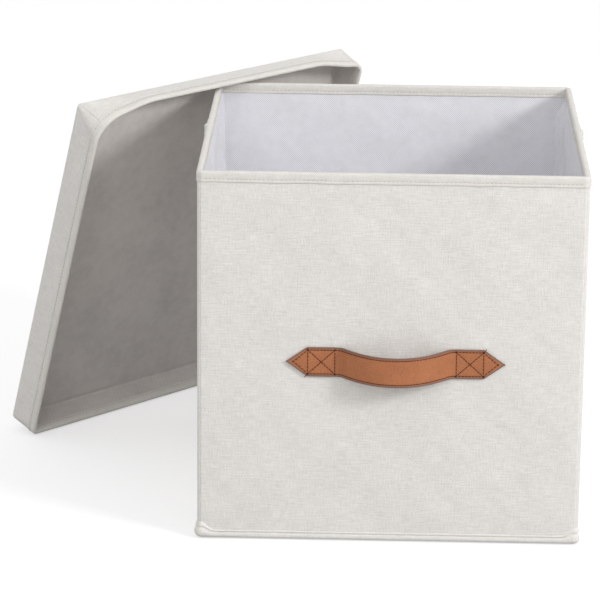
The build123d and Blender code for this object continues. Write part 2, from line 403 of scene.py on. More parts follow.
def leather(name, colour, edge_colour, gloss):
    """Leather-look strap: pebbled, unevenly toned and darker along its cut edges."""
    material, tree, shader = blank(name, gloss, specular=0.4)
    cloth = on_cloth(tree)
    pebble = use(tree, PEBBLE, Place=cloth, Size=1000.0)
    patches = use(tree, MOTTLE, Place=cloth, Patch=60.0)["Tone"]
    dark, light = shades(colour, 0.22)
    tone = calc(tree, "MULTIPLY_ADD", patches, 0.8, pebble["Tone"])
    body = toned(tree, shader, dark, light, tone)
    rim = node(tree, "ShaderNodeAttribute", attribute_name="to_edge").outputs["Fac"]
    near = calc(tree, "SUBTRACT", 1.0, calc(tree, "DIVIDE", rim, 2.3 * MM), clamp=True)
    edge = node(
        tree,
        "ShaderNodeMix",
        {"Factor": calc(tree, "MULTIPLY", near, 1.6, clamp=True), "A": body, "B": (*edge_colour, 1.0)},
        data_type="RGBA",
    )
    tree.links.new(edge.outputs["Result"], shader.inputs["Base Color"])
    roughen(tree, shader, pebble["Tone"], -0.25, gloss)
    relief(tree, shader, pebble["Height"], 0.09 * MM)
    return material


def twisted(name, colour):
    """Sewing thread: two plies twisted together, slightly shiny."""
    material, tree, shader = blank(name, 0.6, specular=0.2)
    place = in_space(tree)
    axes = node(tree, "ShaderNodeSeparateXYZ", {0: place}).outputs
    run = calc(tree, "ADD", calc(tree, "ADD", axes[0], axes[1]), axes[2])
    plies = calc(tree, "SINE", calc(tree, "MULTIPLY", run, 2 * math.pi / (0.7 * MM)))
    patches = use(tree, MOTTLE, Place=place, Patch=400.0)["Tone"]
    dark, light = shades(colour, 0.3)
    toned(tree, shader, dark, light, calc(tree, "MULTIPLY_ADD", plies, 0.3, patches))
    relief(tree, shader, plies, 0.06 * MM)
    return material


def cardboard(name, colour):
    """Grey-brown stiffener board: pressed pulp with darker fibres."""
    material, tree, shader = blank(name, 0.9)
    place = in_space(tree)
    fibres = grain(tree, stretched(tree, place, (300.0, 300.0, 900.0)), 1.0, 4.0, 0.7)
    patches = use(tree, MOTTLE, Place=place, Patch=40.0)["Tone"]
    dark, light = shades(colour, 0.2)
    toned(tree, shader, dark, light, calc(tree, "ADD", fibres, patches))
    roughen(tree, shader, fibres, 0.15, 0.9)
    relief(tree, shader, fibres, 0.1 * MM)
    return material


COVER_LINEN = woven("cover linen", (0.80, 0.775, 0.74), 0.17, 0.95, 0.9, 1300.0, 0.3 * MM)
HEM_LINEN = woven("hem linen", (0.74, 0.715, 0.675), 0.16, 0.8, 0.4, 1300.0, 0.2 * MM)
LINING = nonwoven("lining nonwoven", (0.73, 0.725, 0.755), 0.2, 0.8)
# The lid's lining is the bin's lining nonwoven painted darker and warmer: painted shade, with painted warm
# bounce light from the cream cloth.
LID_LINING_PAINTED_SHADE = nonwoven("lid lining nonwoven, painted shade", (0.58, 0.55, 0.53), 0.24, 1.2)
BOARD = cardboard("stiffener board", (0.42, 0.37, 0.3))
STRAP_FACE = leather("strap face", (0.41, 0.15, 0.062), (0.22, 0.125, 0.095), 0.6)
STRAP_BACK = leather("strap backing", (0.22, 0.095, 0.05), (0.15, 0.07, 0.04), 0.75)
BROWN_THREAD = twisted("brown thread", (0.10, 0.022, 0.008))
# The cream thread is darker than the cloth: partly the thread's own colour, and partly painted shade of the
# needle holes that its stitches sit in.
CREAM_THREAD = twisted("cream thread", (0.56, 0.52, 0.46))


# ---------------------------------------------------------------- stitches


def stitch_tree():
    """Stitches laid end to end along the lines of a mesh."""
    tree = bpy.data.node_groups.new("stitches", "GeometryNodeTree")
    tree.interface.new_socket(name="Geometry", in_out="INPUT", socket_type="NodeSocketGeometry")
    for label, value in (("Pitch", 3.6 * MM), ("Length", 2.8 * MM), ("Thickness", 0.55 * MM)):
        made = tree.interface.new_socket(name=label, in_out="INPUT", socket_type=FLOAT)
        made.default_value = value
    tree.interface.new_socket(name="Material", in_out="INPUT", socket_type="NodeSocketMaterial")
    tree.interface.new_socket(name="Geometry", in_out="OUTPUT", socket_type="NodeSocketGeometry")
    given = tree.nodes.new("NodeGroupInput").outputs
    curve = node(tree, "GeometryNodeMeshToCurve", {"Mesh": given["Geometry"]})
    along = {"Curve": curve.outputs[0], "Length": given["Pitch"]}
    spots = node(tree, "GeometryNodeCurveToPoints", along, mode="LENGTH")
    lie = node(tree, "FunctionNodeAlignRotationToVector", {"Vector": spots.outputs["Tangent"]}, axis="Z")
    tilt = node(
        tree,
        "FunctionNodeRandomValue",
        {0: (-0.07,) * 3, 1: (0.07,) * 3, "Seed": 5},
        data_type="FLOAT_VECTOR",
    )
    loose = node(
        tree, "FunctionNodeRotateRotation", {"Rotation": lie.outputs[0], "Rotate By": tilt.outputs[0]}
    )
    loop = node(tree, "GeometryNodeMeshUVSphere", {"Segments": 6, "Rings": 5, "Radius": 0.5})
    size = node(
        tree,
        "ShaderNodeCombineXYZ",
        {"X": given["Thickness"], "Y": given["Thickness"], "Z": given["Length"]},
    )
    laid = node(
        tree,
        "GeometryNodeInstanceOnPoints",
        {
            "Points": spots.outputs["Points"],
            "Instance": loop.outputs["Mesh"],
            "Rotation": loose.outputs[0],
            "Scale": size.outputs[0],
        },
    )
    real = node(tree, "GeometryNodeRealizeInstances", {"Geometry": laid.outputs[0]})
    dyed = node(
        tree, "GeometryNodeSetMaterial", {"Geometry": real.outputs[0], "Material": given["Material"]}
    )
    tree.links.new(dyed.outputs[0], tree.nodes.new("NodeGroupOutput").inputs[0])
    return tree


STITCHES = stitch_tree()


def stitched(name, lines, thread, slot, body, pitch=3.7 * MM, length=2.9 * MM, thickness=0.55 * MM):
    """One body's stitches along several lines of points, as a plain mesh."""
    points = np.concatenate(lines)
    mesh = bpy.data.meshes.new(name)
    edges, first = [], 0
    for line in lines:
        edges += [(first + i, first + i + 1) for i in range(len(line) - 1)]
        first += len(line)
    mesh.from_pydata(points.tolist(), edges, [])
    piece = placed(name, mesh)
    sewing = piece.modifiers.new("sewing", "NODES")
    sewing.node_group = STITCHES
    values = {"Pitch": pitch, "Length": length, "Thickness": thickness, "Material": thread}
    for item in STITCHES.interface.items_tree:
        if item.in_out == "INPUT" and item.name in values:
            sewing[item.identifier] = values[item.name]
    settle(piece, sharp=80)
    finish_piece(piece, thread, body)
    return piece


# ---------------------------------------------------------------- walls of the bin

CLOTH = 0.5 * MM
GRID = 3.0 * MM
CORNER_RADIUS = 4.2 * MM
SEAM_IN = 2.5 * MM
CORNER_LAP = 11.0 * MM
CREASE_LAP = 5.5 * MM
UNDER_RIM = 4.0 * MM
RIM_LAP = 6.0 * MM


class Wall:
    """One wall panel of the frame: where it runs, which way it faces, and where its cloths and boards lie."""

    def __init__(self, name, outward):
        self.name = name
        self.out = np.array(outward, float)
        self.along = np.cross(UP, self.out)
        cover = self.reach(f"{name}_cover")
        lining = self.reach(f"{name}_lining")
        rim = self.reach(f"{name}_rim_binding")
        self.start, self.end = cover[0]
        self.face = cover[1][1]
        self.lining_face = lining[1][0]
        self.rim_out, self.rim_in = rim[1][1], rim[1][0]
        self.foot, self.rim_foot = cover[2][0], rim[2][0]

    def reach(self, piece):
        """A node's limits along the wall, outwards and upwards."""
        corners = np.array([list(c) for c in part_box(piece)])
        return [sorted(corners @ axis) for axis in (self.along, self.out, UP)]

    def at(self, along, out, up):
        """Points from their distances along the wall, out from the bin's middle, and up."""
        along, out, up = np.broadcast_arrays(along, out, up)
        return along[..., None] * self.along + out[..., None] * self.out + up[..., None] * UP


walls = {
    name: Wall(name, outward)
    for name, outward in (
        ("front", (0, -1, 0)),
        ("back", (0, 1, 0)),
        ("left_back", (-1, 0, 0)),
        ("left_front", (-1, 0, 0)),
        ("right_front", (1, 0, 0)),
        ("right_back", (1, 0, 0)),
    )
}
front = walls["front"]
FULL = ("front", "back")
corner_centre = front.face - CORNER_RADIUS


def seams(wall, corner_in, crease_in):
    """Where a wall's cloth ends, a distance in from the bin's corners and from the crease."""
    if wall.name in FULL:
        return corner_in - wall.face, wall.face - corner_in
    ends = sorted((crease_in, wall.face - corner_in))
    return tuple(ends) if wall.end > -wall.start else (-ends[1], -ends[0])


def seam_dip(distance, depth=0.45 * MM, width=0.8 * MM):
    """How far cloth sinks towards a seam at its edge."""
    return depth * np.clip(1 - distance / width, 0, 1) ** 2


def from_ends(places):
    """How far each place is from the nearer end of its row."""
    return np.minimum(places - places[0], places[-1] - places)


def wall_cloth(wall, name, places, material, stands_for):
    """A cloth stretched over a wall panel, from its places along, out of and up the wall."""
    along, _, up = places
    piece = thicken(surface(f"{wall.name}_{name}", wall.at(*places), grid(along, up)), CLOTH)
    finish_piece(piece, material, wall.name, [f"{wall.name}_{stands_for}"])


def wall_cover(wall, seed):
    """The outer cloth of a wall panel, stretched over its board and dipping at the seams."""
    corner_in = SEAM_IN if wall.name in FULL else CORNER_LAP
    along = spaced(*seams(wall, corner_in, CREASE_LAP), GRID)[None, :]
    up = spaced(wall.foot - 2 * MM, wall.rim_foot + UNDER_RIM, GRID)[:, None]
    edge = from_ends(along[0])[None, :]
    calm = smooth_step((wall.rim_foot - up) / (14 * MM)) * smooth_step((up - wall.foot) / (14 * MM))
    swell = (0.3 * waviness(along, up, 90 * MM, seed) + 0.12 * waviness(along, up, 22 * MM, seed + 1)) * MM
    puff = 0.25 * MM * smooth_step(edge / (9 * MM))
    out = wall.face + (swell * smooth_step(edge / (12 * MM)) + puff) * calm - seam_dip(edge)
    if wall.name in FULL:
        past = np.clip(np.abs(along) - corner_centre, 0, CORNER_RADIUS)
        out = out - (CORNER_RADIUS - np.sqrt(CORNER_RADIUS**2 - past**2))
    wall_cloth(wall, "cloth", (along, out, up), COVER_LINEN, "cover")


def lining_folds(wall, along, up):
    """Vertical slack folds in the lining of a side wall, near its corner and at its crease."""
    if wall.name in FULL:
        return 0.0 * along
    run = np.abs(along)
    near_corner = bell(run - (wall.face - 24 * MM), 16 * MM)
    near_crease = bell(run - 12 * MM, 12 * MM)
    lean = 0.04 * np.sin(up / (70 * MM))
    folds = 1 + np.sin(2 * math.pi * (run / (13 * MM) + lean * 3))
    pleats = 1 + np.sin(2 * math.pi * run / (11 * MM))
    return (0.7 * near_corner * folds + 0.5 * near_crease * pleats) * MM


def wall_lining(wall, seed):
    """The inner cloth of a wall panel."""
    corner_in = 8 * MM if wall.name in FULL else CORNER_LAP
    low, high = seams(wall, corner_in, CREASE_LAP)
    along = spaced(low, high, GRID)[None, ::-1]
    up = spaced(wall.foot - 1.0 * MM, wall.rim_foot + UNDER_RIM, GRID)[:, None]
    edge = from_ends(along[0, ::-1])[None, ::-1]
    calm = smooth_step((wall.rim_foot - up) / (16 * MM)) * smooth_step((up - wall.foot) / (10 * MM) + 0.3)
    slack = 0.4 * MM + 0.3 * MM * waviness(along, up, 75 * MM, seed) + lining_folds(wall, along, up)
    inward = slack * calm * smooth_step(edge / (7 * MM)) - seam_dip(edge, 0.25 * MM)
    places = (along, wall.lining_face - inward, up)
    wall_cloth(wall, "inner_cloth", places, LINING, "lining")


# The rim binding's section: how far in from its outer face, and how far up from its foot, in millimetres
RIM_LEAF = ((0.6, 0.3), (0.1, -0.15), (-0.25, 0.15), (-0.34, 0.9), (-0.22, 1.9), (0.08, 2.8), (-0.1, 3.6))
RIM_TOP = ((-0.18, 4.8), (-0.12, 7.3), (0.12, 8.35), (0.75, 8.92))
RIM_STITCH_UP = 2.8 * MM


def rim_section(wall):
    """The whole section of the rim binding, from the foot of its outer leaf to the foot of its inner leaf."""
    thickness = (wall.rim_out - wall.rim_in) / MM
    half = [*RIM_LEAF, *RIM_TOP]
    whole = [*half, (thickness / 2, 9.0), *[(thickness - inward, up) for inward, up in reversed(half)]]
    return np.array(whole) * MM


def rim_flat(section, run):
    """Where each point of a binding lies on the flat strip that it is folded from."""
    return grid(run[None, :], run_of(*section.T)[:, None])


def wall_rim(wall, seed):
    """The hem folded over a wall's top edge, with its foot slightly uneven."""
    section = rim_section(wall)
    low, high = seams(wall, RIM_LAP, CREASE_LAP)
    along = spaced(low, high, 2.5 * MM)
    drift = 0.15 * MM * waviness(along, 0 * along, 45 * MM, seed)
    top = 0.1 * MM * (1 + np.clip(waviness(along, 0 * along, 60 * MM, seed + 1), -1, 1))
    share = section[:, 1:] / section[:, 1].max()
    up = wall.rim_foot + section[:, 1:] + drift * (1 - share) + top * share
    lump = 0.8 * MM * bell(np.abs(along), 22 * MM) if wall.name not in FULL else 0 * along
    outer_share = 1 - section[:, :1] / section[:, 0].max()
    uneven = 0.1 * MM * waviness(along, 0 * along, 30 * MM, seed + 2)
    out = wall.rim_out - section[:, :1] + lump * outer_share + uneven * (2 * outer_share - 1)
    piece = surface(f"{wall.name}_rim_hem", wall.at(along[None, :], out, up), rim_flat(section, along))
    thicken(piece, CLOTH, sharp=70)
    finish_piece(piece, HEM_LINEN, wall.name, [f"{wall.name}_rim_binding"])
    lines = []
    height = wall.rim_foot + RIM_STITCH_UP + drift
    for side in (wall.rim_out + lump + uneven, wall.rim_in - uneven):
        lines.append(wall.at(along, side, height)[3:-3])
    stitched(f"{wall.name}_rim_stitches", lines, CREAM_THREAD, "cover_cloth", wall.name)


def wall_board(wall):
    """The stiffener of a full-width wall, with its upright edges eased so that the cloth turns round them."""
    low, high = (np.array(list(c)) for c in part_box(f"{wall.name}_board"))
    mesh = bpy.data.meshes.new(f"{wall.name}_stiffener")
    shape = bmesh.new()
    bmesh.ops.create_cube(shape, size=1.0)
    span = high - low - np.array([2.4 * MM, 0, 0])
    bmesh.ops.scale(shape, vec=span, verts=shape.verts)
    bmesh.ops.translate(shape, vec=(low + high) / 2, verts=shape.verts)
    upright = [e for e in shape.edges if abs((e.verts[0].co - e.verts[1].co).z) > 0.1]
    bmesh.ops.bevel(shape, geom=upright, offset=0.9 * MM, segments=3, affect="EDGES")
    bmesh.ops.recalc_face_normals(shape, faces=shape.faces)
    shape.to_mesh(mesh)
    shape.free()
    piece = placed(mesh.name, mesh)
    finish_piece(piece, BOARD, wall.name, [f"{wall.name}_board"])


for number, wall in enumerate(walls.values()):
    if wall.name in FULL:
        wall_board(wall)
    wall_cover(wall, 10 + 7 * number)
    wall_lining(wall, 60 + 7 * number)
    wall_rim(wall, 110 + 7 * number)


# ---------------------------------------------------------------- corners and creases

# Each corner: its signs in plan, the bodies that meet there, and the radius of the slack lining across it
CORNERS = (
    ("front_left", (-1, -1), ("front", "left_front"), 4.0 * MM),
    ("front_right", (1, -1), ("front", "right_front"), 4.0 * MM),
    ("back_left", (-1, 1), ("back", "left_back"), 4.0 * MM),
    ("back_right", (1, 1), None, 12.0 * MM),
)
QUARTER = np.linspace(0, math.pi / 2, 11)


def in_corner(signs, x, y):
    """Points in plan of one corner, from those of the corner at +x +y."""
    return np.array(x) * signs[0], np.array(y) * signs[1]


def upright_strip(name, plan, up, flat_run, turn):
    """A strip of cloth that stands along a line in plan."""
    x, y = plan
    if turn:
        x, y, flat_run = x[..., ::-1], y[..., ::-1], flat_run[::-1]
    piece = surface(name, grid(x, y, up[:, None]), grid(flat_run[None, :], up[:, None]))
    return thicken(piece, CLOTH)


def join(piece, material, slot, bodies, start, end, open_body="back"):
    """Finishes a piece that crosses a joint, or that rides on one body at the open corner."""
    if bodies:
        finish_piece(piece, material)
        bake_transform(piece)
    else:
        finish_piece(piece, material, open_body)


def corner_cloth(name, signs, bodies):
    """The outer cloth round a corner, from the seam on the full wall to the seam on the side."""
    first = math.asin(1 - SEAM_IN / CORNER_RADIUS)
    angles = np.concatenate([[first], QUARTER[QUARTER > first + 0.02]])
    x = corner_centre + CORNER_RADIUS * np.sin(angles)
    y = corner_centre + CORNER_RADIUS * np.cos(angles)
    down = spaced(front.face - CORNER_LAP, corner_centre, 1.2 * MM)[::-1][1:]
    x = np.concatenate([x, np.full(len(down), front.face)])
    y = np.concatenate([y, down])
    run = run_of(x, y)
    dip = seam_dip(np.minimum(run, run[-1] - run))
    mid = np.array([corner_centre, corner_centre])
    away = np.stack([x, y], axis=1) - mid
    away[len(angles):] = (1, 0)
    away /= np.linalg.norm(away, axis=1)[:, None]
    x, y = x - dip * away[:, 0], y - dip * away[:, 1]
    up = spaced(front.foot - 2 * MM, front.rim_foot + UNDER_RIM, GRID)
    plan = in_corner(signs, x, y)
    piece = upright_strip(f"{name}_corner_cloth", plan, up, run, signs[0] * signs[1] > 0)
    start = in_corner(signs, corner_centre + CORNER_RADIUS - SEAM_IN, front.face)
    end = in_corner(signs, front.face, corner_centre)
    join(piece, COVER_LINEN, "cover_cloth", bodies, start, end)


def cove_line(cove, slack, ends):
    """The inner cloth's line in plan across a corner: straight, a cove of one radius, straight."""
    inside = front.lining_face
    centre = inside - cove
    turn = np.linspace(0, math.pi / 2, 27)
    bow = cove + slack * np.sin(4 * turn) ** 2 * np.sin(11 * turn)
    lead = np.linspace(ends[0], centre, 5)[:-1]
    tail = np.linspace(centre, ends[1], 6)[1:]
    x = np.concatenate([lead, centre + bow * np.sin(turn), np.full(len(tail), inside)])
    y = np.concatenate([np.full(len(lead), inside), centre + bow * np.cos(turn), tail])
    return x, y


def corner_lining(name, signs, bodies, cove):
    """The inner cloth in a corner: a cove between two linings, with slack folds where it is wide."""
    inside = front.lining_face
    centre = inside - cove
    ends = (min(front.face - 8.3 * MM, centre - MM), min(front.face - CORNER_LAP - 0.2 * MM, centre - MM))
    x, y = cove_line(cove, 0.06 * cove, ends)
    flat_run = run_of(x, y)
    up = spaced(front.foot - 1.0 * MM, front.rim_foot + UNDER_RIM, GRID)
    tight_x, tight_y = cove_line(3.0 * MM, 0.0, ends)
    tight = smooth_step((up - front.rim_foot + 22 * MM) / (20 * MM))[:, None]
    plan = in_corner(signs, x + (tight_x - x) * tight, y + (tight_y - y) * tight)
    piece = upright_strip(f"{name}_corner_lining", plan, up, flat_run, signs[0] * signs[1] < 0)
    start, end = in_corner(signs, centre, inside), in_corner(signs, inside, centre)
    join(piece, LINING, "lining_cloth", bodies, start, end)
    if not bodies:
        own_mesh(piece)


def corner_rim(name, signs, bodies):
    """The rim binding where it turns a corner, slightly gathered."""
    section = rim_section(front)
    thickness = front.rim_out - front.rim_in
    turn_in = 0.7 * MM
    centre = front.rim_in - turn_in
    lead = np.linspace(front.face - RIM_LAP, centre, 4)[:-1]
    tail = np.linspace(centre, front.face - RIM_LAP, 4)[1:]
    angle = np.concatenate([0 * lead, QUARTER, 0 * tail + math.pi / 2])
    x0 = np.concatenate([lead, 0 * QUARTER + centre, 0 * tail + centre])
    y0 = np.concatenate([0 * lead + centre, 0 * QUARTER + centre, tail])
    reach = turn_in + thickness - section[:, :1]
    gather = 0.25 * MM * np.sin(8 * angle) * np.sin(2 * angle)
    x = x0 + (reach + gather) * np.sin(angle)
    y = y0 + (reach + gather) * np.cos(angle)
    up = front.rim_foot + section[:, 1:] + 0.1 * MM * section[:, 1:] / section[:, 1].max()
    x, y = in_corner(signs, x, y)
    run = run_of(x0 + front.rim_out * np.sin(angle) * 0.03, y0 + front.rim_out * np.cos(angle) * 0.03)
    flat = rim_flat(section, run)
    points = grid(x, y, up)
    if signs[0] * signs[1] > 0:
        points, flat = points[:, ::-1], flat[:, ::-1]
    piece = thicken(surface(f"{name}_corner_rim", points, flat), CLOTH, sharp=70)
    start, end = in_corner(signs, centre, front.rim_out), in_corner(signs, front.rim_out, centre)
    join(piece, HEM_LINEN, "cover_cloth", bodies, start, end)


for name, signs, bodies, cove in CORNERS:
    corner_cloth(name, signs, bodies)
    corner_lining(name, signs, bodies, cove)
    corner_rim(name, signs, bodies)


def crease_strip(name, points, flat, finish, seam, sharp=50):
    """One strip across a fold crease, between the two half panels that it joins."""
    bodies, start, end = seam
    piece = thicken(surface(name, points, flat), CLOTH, sharp=sharp)
    join(piece, *finish, bodies, start, end)


def crease_strips(side, sign, bodies):
    """The cloths across a side wall's fold crease: a valley outside, slack inside and a pinch at the rim."""
    wall = walls[bodies[0]]
    along = np.linspace(-CREASE_LAP, CREASE_LAP, 25)
    up = spaced(wall.foot - 2 * MM, wall.rim_foot + UNDER_RIM, GRID)
    edge = CREASE_LAP - np.abs(along)
    bend = 1.4 * MM
    first = np.sign(wall.at((wall.start + wall.end) / 2, 0, 0)[1])
    seam = (bodies, (sign * wall.face, first * bend), (sign * wall.face, -first * bend))
    flat = grid(along[None, :], up[:, None])

    valley = 0.5 * MM * bell(along, 0.9 * MM) + seam_dip(edge, 0.3 * MM)
    points = wall.at(along[None, :], (wall.face - valley)[None, :], up[:, None])
    crease_strip(f"{side}_crease_cloth", points, flat, (COVER_LINEN, "cover_cloth"), seam)

    slack = 0.9 * MM * bell(along, 2.6 * MM) - seam_dip(edge, 0.2 * MM)
    points = wall.at(along[None, ::-1], (wall.lining_face - slack[::-1])[None, :], up[:, None])
    finish = (LINING, "lining_cloth")
    crease_strip(f"{side}_crease_lining", points, flat[:, ::-1], finish, seam)

    section = rim_section(wall)
    share = section[:, 1:] / section[:, 1].max()
    pinch = bell(along, 3.4 * MM)
    outer_share = 1 - section[:, :1] / section[:, 0].max()
    lump = (0.8 + 1.4 * pinch) * outer_share - 0.9 * pinch * (1 - outer_share)
    out = wall.rim_out - section[:, :1] + lump * MM
    ripple = 0.1 + 0.22 * pinch * (1 + np.cos(along / (0.9 * MM)))
    rise = wall.rim_foot + section[:, 1:] + share * ripple * MM
    points, flat = wall.at(along[None, :], out, rise), rim_flat(section, along)
    crease_strip(f"{side}_crease_rim", points, flat, (HEM_LINEN, "cover_cloth"), seam, sharp=70)


crease_strips("left", -1, ("left_back", "left_front"))
crease_strips("right", 1, ("right_front", "right_back"))


# ---------------------------------------------------------------- base

# The edge band's section: how far out from the cover's face, and how far up, in millimetres
BAND_ROLL = ((-5.0, 0.12), (-2.0, 0.08), (-0.5, 0.3), (0.3, 1.0), (0.75, 2.2), (0.72, 3.4), (0.35, 4.5))
BAND_LIP = ((-0.3, 5.2), (-0.3, 5.5), (0.25, 5.75), (0.5, 6.3), (0.42, 6.9), (0.0, 7.35), (-0.6, 7.4))
BAND_SECTION = np.array((*BAND_ROLL, *BAND_LIP)) * MM
CORNER_RISE = 0.95


def round_the_bin(step):
    """Places round the bin's foot: the point, the way out there, how far from a corner, and which corner."""
    straight = spaced(-corner_centre, corner_centre, step, close=np.arange(0, 14, 1.2) * MM)
    points, outward, apart, corner = [], [], [], []
    for quarter in range(4):
        axes = quarter_turn(quarter)
        for s in straight[:-1]:
            points.append(np.array([s, -front.face]) @ axes)
            outward.append(np.array([0, -1]) @ axes)
            apart.append(corner_centre - abs(s) + CORNER_RADIUS * math.pi / 4)
            corner.append((quarter + (s > 0)) % 4)
        for angle in np.linspace(0, math.pi / 2, 9)[:-1]:
            out = np.array([math.sin(angle), -math.cos(angle)])
            points.append((np.array([corner_centre, -corner_centre]) + CORNER_RADIUS * out) @ axes)
            outward.append(out @ axes)
            apart.append(CORNER_RADIUS * abs(angle - math.pi / 4))
            corner.append((quarter + 1) % 4)
    return np.array(points), np.array(outward), np.array(apart), np.array(corner)


def base_band():
    """The padded band round the foot: a puffed roll, a groove and a narrow lip, rising at the corners."""
    foot, outward, apart, corner = round_the_bin(4 * MM)
    run = run_of(*foot.T)
    rise = 1 + CORNER_RISE * bell(np.clip(apart - 3 * MM, 0, None), 6 * MM)
    bulge = np.where(corner == 0, 1.6, 0.7) * MM * bell(apart, 16 * MM)
    creases = 0.28 * MM * np.sin(apart / (1.5 * MM) + corner) * bell(apart, 10 * MM)
    level = BAND_SECTION[:, 1:]
    share = level / level.max()
    roll = np.sin(math.pi * np.clip(share, 0, 1))
    out = BAND_SECTION[:, :1] + (bulge + creases) * roll
    out = out + 0.12 * MM * waviness(run, 0 * run, 40 * MM, 301) * roll
    x = foot[:, 0] + out * outward[:, 0]
    y = foot[:, 1] + out * outward[:, 1]
    up = level * (1 + (rise - 1) * share**0.6)
    flat = rim_flat(BAND_SECTION, closed_run(*foot.T))
    piece = surface("base_band", grid(x, y, up), flat, around=True)
    thicken(piece, CLOTH, sharp=70)
    finish_piece(piece, COVER_LINEN, "back", ["base_edge_band"])
    gather_to_back(piece)


def gather_to_back(piece):
    """Gives a piece of the soft base its own copy of its mesh."""
    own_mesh(piece)


def base_sheet():
    """The cloth under the bin."""
    low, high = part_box("base_cloth")
    inset = 2.5 * MM
    x = spaced(low.x + inset, high.x - inset, 6 * MM)[None, :]
    y = spaced(low.y + inset, high.y - inset, 6 * MM)[:, None]
    up = high.z - 0.15 * MM * (1 + waviness(x, y, 50 * MM, 311))
    piece = thicken(surface("base_sheet", grid(x, y, up), grid(x, y)), CLOTH)
    finish_piece(piece, COVER_LINEN, "back", ["base_cloth"])
    gather_to_back(piece)


def insert_cloth():
    """The lining wrapped over the loose base board, turned down at its edges and slightly crowned."""
    low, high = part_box("insert_lining")
    x = spaced(low.x, high.x, GRID)[None, :]
    y = spaced(low.y, high.y, GRID)[:, None]
    edge = np.minimum(from_ends(x[0])[None, :], from_ends(y[:, 0])[:, None])
    turned = 2.2 * MM
    past = np.clip(turned - edge, 0, turned)
    drop = turned - np.sqrt(turned**2 - past**2)
    crown = 0.5 * MM * smooth_step(edge / (40 * MM)) + 0.25 * MM * waviness(x, y, 80 * MM, 321)
    up = high.z + crown * smooth_step(edge / (8 * MM)) - drop
    piece = thicken(surface("insert_cloth", grid(x, y, up), grid(x, y)), CLOTH)
    finish_piece(piece, LINING, "insert", ["insert_lining"])


def insert_underside():
    """The plain backing cloth under the loose base board."""
    low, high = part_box("insert_backing")
    x = spaced(low.x, high.x, 6 * MM)[None, ::-1]
    y = spaced(low.y, high.y, 6 * MM)[:, None]
    down = low.z + 0.06 * MM * (1 + waviness(x, y, 60 * MM, 331))
    piece = thicken(surface("insert_underside", grid(x, y, down), grid(x, y)), 0.4 * MM)
    finish_piece(piece, LINING, "insert", ["insert_backing"])


base_band()
base_sheet()
insert_cloth()
insert_underside()


# ---------------------------------------------------------------- handle

STRAP_LAYER = 1.2 * MM
BOW_HALF = 51.0 * MM
BOW_ROOT = 12.0 * MM
TIP_LENGTH = 18.0 * MM
STITCH_INSET = 2.4 * MM
BOX_WIDTH = 23.0 * MM
SAG = 2.0 * MM
strap_low, strap_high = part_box("handle_strap")
strap_middle = (strap_low.x + strap_high.x) / 2
strap_height = (strap_low.z + strap_high.z) / 2
strap_half_width = (strap_high.z - strap_low.z) / 2
strap_half_length = (strap_high.x - strap_low.x) / 2
bow_out = -front.face - strap_low.y - 2 * STRAP_LAYER
bow_turn = 2 * math.atan(bow_out / BOW_HALF)
bow_radius = BOW_HALF / math.sin(bow_turn) - BOW_ROOT
bow_run = bow_radius * bow_turn
root_run = BOW_ROOT * bow_turn
strap_run = bow_run + root_run + strap_half_length - BOW_HALF


def strap_width(run):
    """Half the strap's width at a distance along it from its middle: its ends are points."""
    left = strap_run - np.abs(run)
    return strap_half_width * np.clip(left / TIP_LENGTH, 0.05, 1)


def strap_point(run, across, lift):
    """A point of the strap: along it from its middle, up across it, and out from its wall side."""
    run, across, lift = np.broadcast_arrays(np.asarray(run, float), across, lift)
    side, along = np.sign(run), np.abs(run)
    bow = np.clip(along / bow_radius, 0, bow_turn)
    root = bow_turn - np.clip((along - bow_run) / BOW_ROOT, 0, bow_turn)
    on_bow = along < bow_run
    flat_part = np.clip(along - bow_run - root_run, 0, None)
    x_bow = (bow_radius + lift) * np.sin(bow)
    out_bow = bow_out - bow_radius + (bow_radius + lift) * np.cos(bow)
    x_root = BOW_HALF - (BOW_ROOT - lift) * np.sin(root) + flat_part
    out_root = BOW_ROOT - (BOW_ROOT - lift) * np.cos(root)
    x = side * np.where(on_bow, x_bow, x_root)
    out = np.where(on_bow, out_bow, out_root)
    sag = SAG * np.cos(np.clip(along / (bow_run + root_run), 0, 1) * math.pi / 2) ** 2
    return np.stack([strap_middle + x, -front.face - out, strap_height + across - sag], axis=-1)


box_near = bow_run + root_run + 0.6 * MM
box_far = box_near + BOX_WIDTH
stitch_high = strap_half_width - STITCH_INSET
stitch_tip = strap_run - 2.6 * STITCH_INSET


def strap_seams():
    """The strap's sewn lines as pairs of (along, across) points: both boxes with crosses, tips and edges."""
    lines = []
    for side in (-1, 1):
        near_low, near_high = (side * box_near, -stitch_high), (side * box_near, stitch_high)
        far_low, far_high = (side * box_far, -stitch_high), (side * box_far, stitch_high)
        point = (side * stitch_tip, 0)
        lines += [(near_low, near_high), (far_low, far_high), (near_low, far_low), (near_high, far_high)]
        lines += [(near_low, far_high), (near_high, far_low), (far_low, point), (far_high, point)]
    for edge in (-stitch_high, stitch_high):
        lines.append(((-box_near + MM, edge), (box_near - MM, edge)))
    return lines


def to_seam(run, across):
    """How far a place on the strap is from the nearest sewn line."""
    nearest = np.full(np.broadcast(run, across).shape, 1.0)
    for (x0, y0), (x1, y1) in strap_seams():
        length = (x1 - x0) ** 2 + (y1 - y0) ** 2
        share = np.clip(((run - x0) * (x1 - x0) + (across - y0) * (y1 - y0)) / length, 0, 1)
        nearest = np.minimum(nearest, np.hypot(run - x0 - share * (x1 - x0), across - y0 - share * (y1 - y0)))
    return nearest


